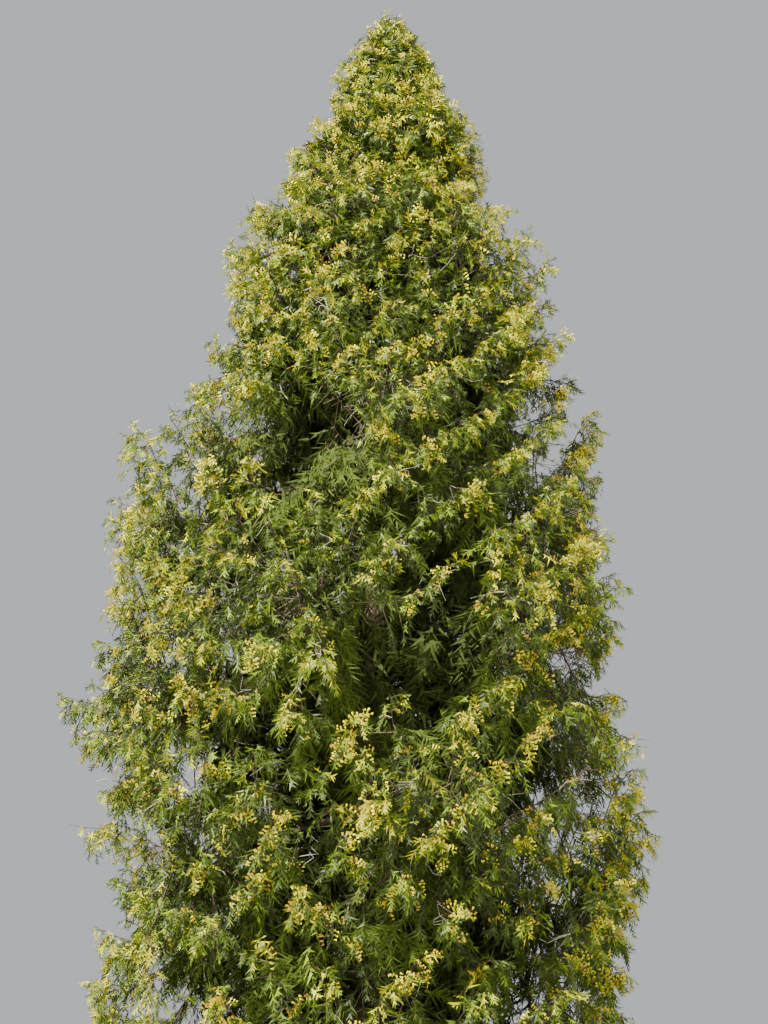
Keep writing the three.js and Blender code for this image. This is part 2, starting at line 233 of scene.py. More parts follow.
# Boughs
# Each bough leaves the trunk above its mass of foliage, sags under its weight and turns up
# again at its end. It tapers all the way, and thinner, smoother bark covers it.
CROWN_LOWEST = 0.95
CROWN_TOP = 16.0
CROWN = (
    (0.90, 1.48, 1.42),
    (2.00, 1.98, 1.90),
    (3.20, 2.14, 2.04),
    (4.80, 2.15, 1.99),
    (5.50, 2.14, 2.04),
    (6.30, 2.31, 2.28),
    (7.15, 2.62, 2.14),
    (7.45, 2.70, 2.18),
    (7.90, 2.24, 2.28),
    (8.60, 2.42, 2.18),
    (9.20, 2.50, 2.02),
    (9.38, 2.44, 2.03),
    (9.56, 1.86, 2.04),
    (9.80, 1.76, 2.06),
    (10.50, 1.76, 2.18),
    (10.90, 1.60, 1.62),
    (11.30, 1.50, 1.66),
    (11.80, 1.62, 1.84),
    (12.20, 1.54, 1.30),
    (12.65, 1.26, 0.84),
    (12.95, 1.10, 1.00),
    (13.50, 1.08, 1.10),
    (13.95, 0.64, 0.94),
    (14.30, 0.62, 0.68),
    (14.60, 0.70, 0.64),
    (15.30, 0.43, 0.41),
    (15.70, 0.24, 0.19),
    (16.00, 0.07, 0.07),
)
TIERS = (
    ("foot", 2.20, 5, 18, 0.30, True),
    ("low", 3.95, 5, 54, 0.27, True),
    ("mid", 5.70, 5, 0, 0.24, True),
    ("waist", 7.45, 5, 36, 0.18, True),
    ("shoulder", 9.20, 4, 0, 0.05, True),
    ("neck", 10.90, 4, 45, -0.15, False),
    ("upper", 12.45, 3, 0, -0.40, False),
    ("top", 13.80, 3, 60, -0.70, False),
)
LEADER_HEIGHT = 15.25
BOUGH_RUN = 0.34
BOUGH_ARCH = 0.05
BOUGH_SAG_RUN = 0.6
BOUGH_SAG = 0.2
STEM_REACH = 0.86
STEM_HOOK = 0.03
BOUGH_SHARE = 0.46
BOUGH_RADIUS = 0.046
BOUGH_TIP_RADIUS = 0.025
STEM_TIP_RADIUS = 0.007
LEADER_TIP_RADIUS = 0.003
MASS_CENTRE = 0.66
COLLAR = 0.6
COLLAR_SHARE = 0.05
BOUGH_SIDES = 10
BOUGH_STEPS = 26
BOUGH_STRIDE = 0.01
BOUGH_FURROW = 0.09
BOUGH_COLOURS = ((0.05, 0.035, 0.026), (0.19, 0.13, 0.09), (0.36, 0.30, 0.24))
BOUGH_ROUGHNESS = 0.88


def mix(pair, share):
    """The value at a share of the way from the first of a pair to the second"""
    return pair[0] + (pair[1] - pair[0]) * share


def crown_reach(height, azimuth):
    """How far the foliage reaches from the trunk at a height and in a direction"""
    level = min(max(height, CROWN[0][0]), CROWN[-1][0])
    row = 1
    while row < len(CROWN) - 1 and CROWN[row][0] < level:
        row += 1
    below, above = CROWN[row - 1], CROWN[row]
    share = (level - below[0]) / (above[0] - below[0])
    sides = mix((below[1], above[1]), share), mix((below[2], above[2]), share)
    return mix(sides, (1 + math.cos(azimuth)) / 2)


def crown_point(azimuth, distance, height):
    """The point at a distance from the trunk in a direction"""
    return trunk_centre(height) + Vector((math.cos(azimuth), math.sin(azimuth), 0)) * distance


def bezier(corners, share):
    """The point at a share of a curve that its corners pull along"""
    points = list(corners)
    while len(points) > 1:
        points = [a.lerp(b, share) for a, b in zip(points, points[1:])]
    return points[0]


def heading_at(corners, share, step):
    """The way a curve runs at a share of it, from a step before that to a step after"""
    return (bezier(corners, share + step) - bezier(corners, share - step)).normalized()


class Mass:
    """A mass of foliage: its middle, and the path of the bough and stem that carry it"""

    def __init__(self, name, centre, path, has_bough):
        self.name = name
        self.centre = centre
        self.path = path
        self.has_bough = has_bough
        self.first = BOUGH_SHARE if has_bough else 0

    def stem(self, share):
        """The point at a share of the stem, which runs on from the bough"""
        return bezier(self.path, mix((self.first, 1), share))

    def radius(self, share):
        """The radius at a share of the whole path"""
        if share < self.first:
            return mix((BOUGH_RADIUS, BOUGH_TIP_RADIUS), share / self.first)
        return mix((BOUGH_TIP_RADIUS, STEM_TIP_RADIUS), (share - self.first) / (1 - self.first))


def plan_mass(tier, index):
    """The mass that a tier's bough of that number carries"""
    name, height, count, turn, rise, has_bough = tier
    azimuth = math.radians(turn + 360 / count * index)
    reach = crown_reach(height, azimuth)
    root = height + rise * reach
    path = (
        crown_point(azimuth, 0, root),
        crown_point(azimuth, BOUGH_RUN * reach, root + BOUGH_ARCH * reach),
        crown_point(azimuth, BOUGH_SAG_RUN * reach, height - BOUGH_SAG * reach),
        crown_point(azimuth, STEM_REACH * reach, height + STEM_HOOK * reach),
    )
    centre = crown_point(azimuth, MASS_CENTRE * reach, height)
    return Mass(f"{name}-{index + 1}", centre, path, has_bough)


masses = [plan_mass(tier, index) for tier in TIERS for index in range(tier[2])]
leader_path = (trunk_centre(TRUNK_TOP), trunk_centre(CROWN_TOP))
leader = Mass("leader", trunk_centre(LEADER_HEIGHT), leader_path, False)
leader.radius = lambda share: mix((TRUNK_TOP_RADIUS, LEADER_TIP_RADIUS), share)
masses.append(leader)


def limb_rings(mass):
    """Rings of points along a bough and its stem, thicker in a collar where it leaves the trunk"""
    rings = []
    for step in range(BOUGH_STEPS + 1):
        share = step / BOUGH_STEPS
        centre = bezier(mass.path, share)
        along = heading_at(mass.path, share, BOUGH_STRIDE)
        side = along.cross(Vector((1, 0, 0)) if mass is leader else UP).normalized()
        over = side.cross(along)
        collar = 1 + COLLAR * math.exp(-share / COLLAR_SHARE) if mass.has_bough else 1
        radius = mass.radius(share) * collar
        ring = []
        for i in range(BOUGH_SIDES):
            angle = 2 * math.pi * i / BOUGH_SIDES
            out = over * math.cos(angle) + side * math.sin(angle)
            strip = strip_height(out * radius + centre, share)
            furrow = BOUGH_FURROW * radius * (strip - 1)
            ring.append((centre + out * (radius + furrow), strip))
        rings.append(ring)
    return rings


boughs = skin("boughs-bark", [limb_rings(mass) for mass in masses])
boughs.data.materials.append(bark_material("bough_bark", BOUGH_COLOURS, BOUGH_ROUGHNESS))
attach(boughs, "root")
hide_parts(*[f"bough-{mass.name}" for mass in masses if mass.has_bough])

# Branches and side twigs
# A branch grows from the stem to each tip of the crown, sags and turns up at its end, and side
# twigs leave it left and right in a flat plume. Older ones have shed their leaves and are pale.
SEED = 20411
GOLDEN_ANGLE = math.pi * (3 - math.sqrt(5))
CLIMB_START = 9.5
TOP_CROWDING = 0.62
TIP_STEP = 0.005
OUTER_TIPS = 940
OUTER_REACH = (0.9, 1.02)
OUTER_TURN = 90
LUMP_SIZE = 0.85
LUMP_DEPTH = 0.13
LUMP_CONTRAST = 1.1
INNER_TIPS = 760
INNER_REACH = (0.32, 0.88)
INNER_TURN = 200
FOOT_FIRST = 0.15
FOOT_FIRST_ON_TRUNK = 0.3
FOOT_LAST = 0.8
FOOT_STEPS = 8
FOOT_INWARD = 0.8
BRANCH_SAG = 0.16
BRANCH_SAG_PLACE = 0.4
BRANCH_RISE = (0.5, 1.6)
BRANCH_RISE_RUN = 0.32
BRANCH_RADIUS = 0.009
BRANCH_TIP_RADIUS = 0.003
BRANCH_STEPS = 5
BRANCH_STRIDE = 0.02
BRANCH_SIDES = 3
BRANCH_COLOUR = (0.075, 0.052, 0.036)
PLUME = 0.68
PLUME_FIRST = 0.12
SIDE_TWIGS = (13, 8)
INNER_SIDE_TWIGS = (6, 5)
SIDE_TWIG = (0.30, 0.12)
INNER_SIDE_TWIG = 1.5
SIDE_SPREAD = (1.25, 0.6)
SIDE_SPREAD_VARIES = (0.8, 1.2)
SIDE_DROOP = (1.1, 0.35)
SIDE_DROOP_VARIES = (0.5, 1.5)
SIDE_STRAY = 0.7
LENGTH_VARIES = (0.75, 1.2)
NARROWEST = 0.4
HANGING_EVERY = 3
HANGING_OUT = 0.5
HANGING_ASIDE = 0.4
HANGING_DROOP = (1.1, 0.1)
TWIG_RADIUS = 0.0045
TWIG_TIP_RADIUS = 0.0015
TWIG_SIDES = 3
TWIG_STEPS = 1
TWIG_STRIDE = 0.05
TWIG_COLOUR = (0.150, 0.110, 0.060)
BARE_SHARE = 0.045
BARE_TWIGS = 2
BARE_LENGTH = 0.7
BARE_OUT = 0.3
BARE_STRAY = 1.4
BARE_STEPS = 3
BARE_RADIUS = 0.0026
BARE_COLOUR = (0.480, 0.420, 0.350)
TWIG_FINISH = (0.8, 0.3)
HOLLOWS = (
    (9.24, 252, 1.30, 0.25),
    (7.34, 268, 1.30, 0.13),
    (9.25, 228, 1.08, 0.14),
    (9.69, 353, 1.58, 0.16),
    (7.52, 349, 1.63, 0.17),
    (6.47, 350, 1.77, 0.17),
    (5.80, 190, 1.76, 0.15),
    (6.06, 286, 1.56, 0.14),
)
HOLLOW_DEPTH = 0.3
CLEAR_FROM = 0.35
CLEAR_WIDTH = 0.6


def make_random(seed):
    """Numbers between 0 and 1, always the same run of them"""
    state = seed

    def draw():
        nonlocal state
        state = state * 48271 % 2147483647
        return state / 2147483647

    return draw


random = make_random(SEED)


def stray():
    """A small step in any direction"""
    return Vector((random() - 0.5, random() - 0.5, random() - 0.5))


def climb_at(height):
    """0 up to the broad part of the crown, 1 at its top"""
    return min(max((height - CLIMB_START) / (CROWN_TOP - CLIMB_START), 0), 1)


def tip_share(height):
    """How many tips a height takes, measured against the others"""
    spacing = mix((1, TOP_CROWDING), climb_at(height))
    return (crown_reach(height, 0) + crown_reach(height, math.pi)) / spacing ** 2


def hollowness(point):
    """0 in the middle of a lump of the crown, up to 1 in the dips between lumps"""
    return min(max(0.5 - LUMP_CONTRAST * noise.noise(point / LUMP_SIZE), 0), 1)


def place_tips(count, reach, first_turn):
    """Tips spread evenly over the crown, each turned from the last by the golden angle"""
    levels = np.arange(CROWN_LOWEST, CROWN_TOP, TIP_STEP)
    shares = np.array([tip_share(level) for level in levels])
    runs = np.floor(np.cumsum(shares) / shares.sum() * count)
    azimuth = math.radians(first_turn)
    tips = []
    for level in levels[1:][np.diff(runs) > 0]:
        azimuth += GOLDEN_ANGLE
        limit = crown_reach(level, azimuth)
        share = mix(reach, random()) - LUMP_DEPTH * hollowness(crown_point(azimuth, limit, level))
        tips.append((crown_point(azimuth, share * limit, level), azimuth))
    return tips


hollows = [
    (crown_point(math.radians(turn), distance, height), radius)
    for height, turn, distance, radius in HOLLOWS
]


def in_hollow(point, width=1):
    """Whether a point lies in that width of one of the hollows, which open outwards and down"""
    for floor, radius in hollows:
        opening = (EYE - floor).normalized()
        run = max((point - floor).dot(opening), 0)
        if (point - floor - opening * run).length < radius * width:
            return True
    return False


def foot_on_stem(mass, tip):
    """Where on a mass's stem the branch to a tip starts"""
    first = FOOT_FIRST if mass.has_bough else FOOT_FIRST_ON_TRUNK
    feet = [mass.stem(mix((first, FOOT_LAST), step / FOOT_STEPS)) for step in range(FOOT_STEPS + 1)]
    inner = [
        foot for foot in feet
        if mass is leader
        or (foot - trunk_centre(foot.z)).length < FOOT_INWARD * (tip - trunk_centre(tip.z)).length
    ]
    return min(inner or feet[:1], key=lambda foot: (foot - tip).length)


def run_of(corners, steps, radii):
    """Points along a curve with the limb's radius at each"""
    return [(bezier(corners, i / steps), mix(radii, i / steps)) for i in range(steps + 1)]


def sweep_tree():
    """Limbs swept along lines, as thick as the lines' thickness says"""
    tree = bpy.data.node_groups.new("limbs_along_lines", "GeometryNodeTree")
    tree.interface.new_socket("Lines", in_out="INPUT", socket_type="NodeSocketGeometry")
    tree.interface.new_socket("Sides", in_out="INPUT", socket_type="NodeSocketInt")
    tree.interface.new_socket("Bark", in_out="INPUT", socket_type="NodeSocketMaterial")
    tree.interface.new_socket("Limbs", in_out="OUTPUT", socket_type="NodeSocketGeometry")
    given = tree.nodes.new("NodeGroupInput").outputs
    thickness = node(tree, "GeometryNodeInputNamedAttribute", Name="thickness")
    curves = node(tree, "GeometryNodeMeshToCurve", Mesh=given["Lines"])
    section = node(tree, "GeometryNodeCurvePrimitiveCircle", Resolution=given["Sides"], Radius=1)
    swept = node(
        tree, "GeometryNodeCurveToMesh", Curve=curves.outputs[0], Profile_Curve=section.outputs[0],
        Scale=thickness.outputs[0], Fill_Caps=True,
    )
    real = node(tree, "GeometryNodeRealizeInstances", Geometry=swept.outputs[0])
    barked = node(tree, "GeometryNodeSetMaterial", Geometry=real.outputs[0], Material=given["Bark"])
    tree.links.new(barked.outputs[0], tree.nodes.new("NodeGroupOutput").inputs[0])
    return tree


def solid_from(name, mesh, tree, **values):
    """The plain mesh that a node tree makes from a mesh, with the tree's named inputs set"""
    piece = bpy.data.objects.new(name, mesh)
    bpy.context.scene.collection.objects.link(piece)
    modifier = piece.modifiers.new(tree.name, "NODES")
    modifier.node_group = tree
    for item in tree.interface.items_tree:
        if item.item_type == "SOCKET" and item.name in values:
            modifier[item.identifier] = values[item.name]
    graph = bpy.context.evaluated_depsgraph_get()
    made = bpy.data.meshes.new_from_object(piece.evaluated_get(graph), depsgraph=graph)
    piece.modifiers.clear()
    piece.data = made
    made.name = name
    bpy.data.meshes.remove(mesh)
    return piece


def lines_mesh(name, runs):
    """A mesh of bare lines, one for each run of points and radii"""
    points = [tuple(point) for run in runs for point, _ in run]
    edges = []
    start = 0
    for run in runs:
        edges.extend((i, i + 1) for i in range(start, start + len(run) - 1))
        start += len(run)
    mesh = bpy.data.meshes.new(name + "-lines")
    mesh.from_pydata(points, edges, [])
    thickness = mesh.attributes.new("thickness", "FLOAT", "POINT")
    thickness.data.foreach_set("value", [radius for run in runs for _, radius in run])
    return mesh


class Twig:
    """A side twig: its curve, how far along the plume it stands, and which tip it belongs to"""

    def __init__(self, corners, place, tip, inner):
        self.corners = corners
        self.place = place
        self.tip = tip
        self.inner = inner


branch_runs = []
bare_runs = []
twigs = []


def grow_branch(mass, tip, azimuth, inner):
    """A branch from the stem to a tip, with its plume of side twigs"""
    climb = climb_at(tip.z)
    scale = min(mix((1, TOP_CROWDING), climb), mix((NARROWEST, 1), crown_reach(tip.z, azimuth)))
    foot = foot_on_stem(mass, tip)
    run = (tip - foot).length
    outward = Vector((math.cos(azimuth), math.sin(azimuth), 0))
    heading = (outward + UP * mix(BRANCH_RISE, climb)).normalized()
    corners = (
        foot,
        foot.lerp(tip, BRANCH_SAG_PLACE) - UP * BRANCH_SAG * run,
        tip - heading * BRANCH_RISE_RUN * run,
        tip,
    )
    ahead = [bezier(corners, mix((CLEAR_FROM, 1), i / BRANCH_STEPS)) for i in range(BRANCH_STEPS)]
    if any(in_hollow(point, CLEAR_WIDTH) for point in ahead):
        return
    branch_runs.append(run_of(corners, BRANCH_STEPS, (BRANCH_RADIUS, BRANCH_TIP_RADIUS)))
    first = max(PLUME_FIRST, 1 - PLUME * scale / run)
    count = round(mix(INNER_SIDE_TWIGS if inner else SIDE_TWIGS, climb))
    for i in range(count):
        place = (i + 0.5) / count
        share = mix((first, 1), place)
        start = bezier(corners, share)
        along = heading_at(corners, share, BRANCH_STRIDE)
        side = along.cross(UP).normalized() * (1 if i % 2 else -1)
        spread = mix(SIDE_SPREAD, place) * mix(SIDE_SPREAD_VARIES, random())
        lift = SIDE_STRAY * (random() - 0.5)
        flat = along * math.cos(spread) + side * math.sin(spread) + UP * lift
        droop = mix(SIDE_DROOP, place) * mix(SIDE_DROOP_VARIES, random()) * (1 - climb)
        if i % HANGING_EVERY == HANGING_EVERY - 1:
            flat = outward * HANGING_OUT + side * HANGING_ASIDE
            droop = mix(HANGING_DROOP, climb)
        length = mix(SIDE_TWIG, place) * scale * mix(LENGTH_VARIES, random())
        if inner:
            length *= INNER_SIDE_TWIG
        end = start + (flat - UP * droop).normalized() * length
        middle = start + flat.normalized() * length / 2
        if random() < BARE_SHARE:
            for _ in range(BARE_TWIGS):
                bend = middle.lerp(end, random())
                hook = bend + (outward * BARE_OUT + stray() * BARE_STRAY) * BARE_LENGTH * length
                bare = (start, middle, bend, hook)
                bare_runs.append(run_of(bare, BARE_STEPS, (BARE_RADIUS, TWIG_TIP_RADIUS)))
        else:
            twigs.append(Twig((start, middle, end), place, tip, inner))


def nearest_mass(point):
    """The mass whose middle is nearest to a point"""
    return min(masses, key=lambda mass: (mass.centre - point).length_squared)


outer_tips = place_tips(OUTER_TIPS, OUTER_REACH, OUTER_TURN)
inner_tips = place_tips(INNER_TIPS, INNER_REACH, INNER_TURN)
for tip, azimuth in outer_tips:
    if not in_hollow(tip) and not in_hollow(tip.lerp(trunk_centre(tip.z), HOLLOW_DEPTH)):
        grow_branch(nearest_mass(tip), tip, azimuth, False)
for tip, azimuth in inner_tips:
    grow_branch(nearest_mass(tip), tip, azimuth, True)


def plain_material(name, colour, roughness, specular):
    """A finish of one plain colour"""
    material = bpy.data.materials.new(name)
    material.use_nodes = True
    shader = material.node_tree.nodes["Principled BSDF"]
    shader.inputs["Base Color"].default_value = (*colour, 1)
    shader.inputs["Roughness"].default_value = roughness
    shader.inputs["Specular IOR Level"].default_value = specular
    return material


sweep = sweep_tree()
mass_nodes = [f"mass-{mass.name}" for mass in masses]
twig_runs = [run_of(twig.corners, TWIG_STEPS, (TWIG_RADIUS, TWIG_TIP_RADIUS)) for twig in twigs]
for name, runs, sides, colour in (
    ("branches", branch_runs, BRANCH_SIDES, BRANCH_COLOUR),
    ("side-twigs", twig_runs, TWIG_SIDES, TWIG_COLOUR),
    ("bare-twigs", bare_runs, TWIG_SIDES, BARE_COLOUR),
):
    bark = plain_material(name, colour, *TWIG_FINISH)
    piece = solid_from(name, lines_mesh(name, runs), sweep, Sides=sides, Bark=bark)
    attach(piece, "root")
    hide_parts(*mass_nodes)

# Sprays
# Flat ferny sprays of scale leaves stand left and right along every side twig and hang from it.
# Their tones paint shade and light: deep green inside the crown and in its lower part, fresh to
# yellow green at its surface and on top of each plume. Tone also differs at random, and fruiting twigs
# are yellower.
SPRAYS = (9, 5.6)
INNER_SPRAYS = (6, 4)
SPRAY_LENGTH = 0.125
SPRAY_SIZE = (0.90, 1.0)
SPRAYS_ALONG = (0.6, 1.15)
SIZE_ALONG = (1.3, 0.88)
SPRAY_GAP = 0.2
SPRAY_SPREAD = 0.75
SPRAY_HANG = (0.65, -0.3)
OLD_SPRAY_HANG = 1.0
HANG_VARIES = (0.4, 1.6)
SPRAY_ROLL = 2.0
OLD_SPRAY_ROLL = 1.6
SPRAY_FINGERS = 6
OLD_SPRAY_FINGERS = 12
SHADE_SPRAY_FINGERS = 9
SPRAY_KINDS = 6
SPRAY_SCATTER = 1.5
SPINE_WIDTH = 0.06
FINGER_ROOTS = (0.08, 0.85)
FINGER_REACH = 0.46
SPRAY_OUTLINE = (0.3, 0.85)
FINGER_WIDTH = 0.11
OLD_FINGER_WIDTH = 0.066
SHADE_FINGER_WIDTH = 0.09
FINGER_ANGLE = 0.68
FINGER_ANGLE_ALONG = (1.1, 0.8)
FINGER_VARIES = (0.6, 1.4)
FINGER_TWIST = 2.0
FINGER_LIFT = 0.7
SPRAY_CURL = (0.08, 0.26)
SPRAY_LEAN = (-0.15, 0.15)
INNER_SPRAY = (3.8, 1.5)
LOWEST_LEAF = 0.72
STRAY = (0.03, 0.015)
TONES = (
    ("dim", (0.040, 0.062, 0.008)),
    ("deep", (0.051, 0.080, 0.008)),
    ("green", (0.068, 0.108, 0.008)),
    ("leaf", (0.110, 0.166, 0.010)),
    ("fresh", (0.198, 0.276, 0.013)),
    ("yellow", (0.470, 0.465, 0.018)),
)
OLD_TONE = (0.070, 0.102, 0.012)
# The shade tone, for the deepest inner sprays, is painted shade.
SHADE_TONE = (0.044, 0.060, 0.011)
LEAF_FINISH = (0.5, 0.3)
OLD_LEAF_FINISH = (0.75, 0.1)
SHADE_OUT = 0.6
OLD_OUT = 0.78


def spray_mesh(name, fingers, width):
    """A spray one unit long: uneven, twisted fingers leave its spine left and right in turn"""
    curl = mix(SPRAY_CURL, random())
    lean = mix(SPRAY_LEAN, random())

    def at(x, y):
        return Vector((y + lean * x * x, -curl * (x * x + y * y), x))

    points = [at(0, -SPINE_WIDTH / 2), at(0, SPINE_WIDTH / 2), at(1, 0)]
    for i in range(fingers):
        place = (i + 0.5) / fingers
        side = 1 if i % 2 else -1
        root = mix(FINGER_ROOTS, place)
        outline = math.sin(math.pi * mix(SPRAY_OUTLINE, place))
        length = FINGER_REACH * outline * mix(FINGER_VARIES, random())
        angle = FINGER_ANGLE * mix(FINGER_ANGLE_ALONG, place) * mix(FINGER_VARIES, random())
        foot = at(root, 0)
        end = at(root + length * math.cos(angle), side * length * math.sin(angle))
        end.y += FINGER_LIFT * length * (random() - 0.5)
        axis = (end - foot).normalized()
        flat = axis.cross(Vector((0, 1, 0))).normalized()
        twist = FINGER_TWIST * (random() - 0.5)
        half = (flat * math.cos(twist) + axis.cross(flat) * math.sin(twist)) * width / 2
        points.extend((foot - half, foot + half, end))
    mesh = bpy.data.meshes.new(name)
    faces = [(i, i + 1, i + 2) for i in range(0, len(points), 3)]
    mesh.from_pydata([tuple(point) for point in points], [], faces)
    return mesh


def scatter_tree():
    """Shapes set on points, turned, sized and picked as each point's attributes say"""
    tree = bpy.data.node_groups.new("shapes_on_points", "GeometryNodeTree")
    tree.interface.new_socket("Points", in_out="INPUT", socket_type="NodeSocketGeometry")
    tree.interface.new_socket("Shapes", in_out="INPUT", socket_type="NodeSocketCollection")
    tree.interface.new_socket("Length", in_out="INPUT", socket_type="NodeSocketFloat")
    tree.interface.new_socket("Finish", in_out="INPUT", socket_type="NodeSocketMaterial")
    tree.interface.new_socket("Shapes Set", in_out="OUTPUT", socket_type="NodeSocketGeometry")
    given = tree.nodes.new("NodeGroupInput").outputs
    along = tree.nodes.new("GeometryNodeInputNamedAttribute")
    along.data_type = "FLOAT_VECTOR"
    along.inputs["Name"].default_value = "along"
    across = tree.nodes.new("GeometryNodeInputNamedAttribute")
    across.data_type = "FLOAT_VECTOR"
    across.inputs["Name"].default_value = "across"
    size = node(tree, "GeometryNodeInputNamedAttribute", Name="size")
    shape = tree.nodes.new("GeometryNodeInputNamedAttribute")
    shape.data_type = "INT"
    shape.inputs["Name"].default_value = "shape"
    turn = tree.nodes.new("FunctionNodeAxesToRotation")
    turn.primary_axis = "Z"
    turn.secondary_axis = "X"
    tree.links.new(along.outputs["Attribute"], turn.inputs["Primary Axis"])
    tree.links.new(across.outputs["Attribute"], turn.inputs["Secondary Axis"])
    length = node(tree, "ShaderNodeMath", Value=given["Length"])
    length.operation = "MULTIPLY"
    tree.links.new(size.outputs["Attribute"], length.inputs[1])
    shapes = node(tree, "GeometryNodeCollectionInfo", Collection=given["Shapes"], Separate_Children=True)
    placed = node(
        tree, "GeometryNodeInstanceOnPoints", Points=given["Points"], Instance=shapes.outputs[0],
        Pick_Instance=True, Instance_Index=shape.outputs["Attribute"],
        Rotation=turn.outputs[0], Scale=length.outputs[0],
    )
    real = node(tree, "GeometryNodeRealizeInstances", Geometry=placed.outputs[0])
    finished = node(tree, "GeometryNodeSetMaterial", Geometry=real.outputs[0], Material=given["Finish"])
    tree.links.new(finished.outputs[0], tree.nodes.new("NodeGroupOutput").inputs[0])
    return tree


def shapes_collection(name, meshes):
    """A collection outside the scene that holds one object for each shape"""
    shapes = bpy.data.collections.new(name)
    for mesh in meshes:
        shapes.objects.link(bpy.data.objects.new(mesh.name, mesh))
    return shapes


class Stand:
    """Where a spray or a bunch of cones stands, which way it points, and how long it is"""

    def __init__(self, place, along, across, size):
        self.place = place
        self.along = along
        self.across = across
        self.size = size
        self.shape = int(random() * SPRAY_KINDS)


def points_mesh(name, stands):
    """A mesh of bare points that carry where each shape stands"""
    mesh = bpy.data.meshes.new(name + "-points")
    mesh.from_pydata([tuple(stand.place) for stand in stands], [], [])
    for key in ("along", "across"):
        attribute = mesh.attributes.new(key, "FLOAT_VECTOR", "POINT")
        attribute.data.foreach_set("vector", np.ravel([getattr(stand, key) for stand in stands]))
    size = mesh.attributes.new("size", "FLOAT", "POINT")
    size.data.foreach_set("value", [stand.size for stand in stands])
    shape = mesh.attributes.new("shape", "INT", "POINT")
    shape.data.foreach_set("value", [stand.shape for stand in stands])
    return mesh


def grow_spray(twig, share, side, spread):
    """A spray at a share of a side twig, or None where it would leave the crown"""
    climb = climb_at(twig.tip.z)
    root = bezier(twig.corners, share)
    along = heading_at(twig.corners, share, TWIG_STRIDE)
    beside = along.cross(UP).normalized() * side
    turned = along * math.cos(spread) + beside * math.sin(spread)
    hang = mix(HANG_VARIES, random()) * (OLD_SPRAY_HANG if twig.inner else mix(SPRAY_HANG, climb))
    heading = (turned - UP * hang + stray() * SPRAY_SCATTER).normalized()
    roll = (OLD_SPRAY_ROLL if twig.inner else SPRAY_ROLL) * (random() - 0.5)
    outward = root - trunk_centre(root.z)
    across = (outward if twig.inner else UP).cross(heading).normalized()
    across = across * math.cos(roll) + heading.cross(across) * math.sin(roll)
    size = mix(LENGTH_VARIES, random()) * mix(SPRAY_SIZE, climb) * mix(SIZE_ALONG, twig.place)
    if twig.inner:
        depth = outward.length / crown_reach(root.z, math.atan2(outward.y, outward.x))
        size *= mix(INNER_SPRAY, min(depth / INNER_REACH[1], 1))
    stand = Stand(root, heading, across, size)
    end = root + heading * size * SPRAY_LENGTH
    middle = trunk_centre(end.z)
    reach = math.hypot(end.x - middle.x, end.y - middle.y)
    limit = crown_reach(end.z, math.atan2(end.y - middle.y, end.x - middle.x))
    stand.outness = reach / limit
    if reach > limit + mix(STRAY, climb) or end.z < LOWEST_LEAF or in_hollow(end):
        return None
    return stand


FRUITING_SHARE = (0.92, 1.0)
FRUITING_TWIGS = (0.30, 0.66)
FRUITING_PLACE = 0.3
FRUITING_OUT = 0.76
# Painted light and shade: sprays are lighter towards the crown's surface and higher in their plume, and
# darker in the lower crown and towards its top.
PAINTED_LIGHT_FROM = 0.63
PAINTED_LIGHT_DEPTH = 0.47
PAINTED_LIGHT_BY_HEIGHT = 0.3
LIGHT_ALONG_PLUME = 0.3
TIP_VARIES = 0.3
SPRAY_VARIES = 0.95
FRUITING_LIGHT = 0.12
BARREN_LIGHT = -0.08
TOP_SHADE = 0.15
PAINTED_LOW_SHADE = 0.28
sprays = [[] for _ in TONES]
old_sprays = []
shade_sprays = []
fruiting = []
tip_tone = {}
tip_fruits = {}
for twig in twigs:
    key = tuple(twig.tip)
    if key not in tip_tone:
        tip_tone[key] = TIP_VARIES * (random() - 0.5)
        tip_fruits[key] = random() < mix(FRUITING_SHARE, climb_at(twig.tip.z))
    climb = climb_at(twig.tip.z)
    count = round(mix(INNER_SPRAYS if twig.inner else SPRAYS, climb) * mix(SPRAYS_ALONG, twig.place))
    fruits = tip_fruits[key] and twig.place > FRUITING_PLACE and random() < mix(FRUITING_TWIGS, climb)
    for i in range(count):
        spread = SPRAY_SPREAD if i < count - 1 else 0
        share = (i + 1 - SPRAY_GAP) / (count - SPRAY_GAP)
        stand = grow_spray(twig, share, 1 if i % 2 else -1, spread)
        if stand is None:
            continue
        # The deepest inner sprays take the dark shade tone, which is painted shade.
        if twig.inner and stand.outness < OLD_OUT:
            (shade_sprays if stand.outness < SHADE_OUT else old_sprays).append(stand)
            continue
        # This tone paints light and shade from the spray's depth, its height in the plume and the height
        # in the crown, and adds random tone and the yellower fruiting twigs.
        light = (stand.outness - PAINTED_LIGHT_FROM) / PAINTED_LIGHT_DEPTH
        light += PAINTED_LIGHT_BY_HEIGHT * (stand.place.z - twig.tip.z) / PLUME
        light += tip_tone[key] + SPRAY_VARIES * (random() - 0.5)
        light -= PAINTED_LOW_SHADE * max(1 - twig.tip.z / CLIMB_START, 0) + TOP_SHADE * climb
        light += LIGHT_ALONG_PLUME * (twig.place - 0.5) + (FRUITING_LIGHT if fruits else BARREN_LIGHT)
        if fruits and stand.outness > FRUITING_OUT:
            fruiting.append(stand)
        tone = min(max(math.floor(light * (len(TONES) - 1)) + 1, 0), len(TONES) - 1)
        sprays[tone].append(stand)


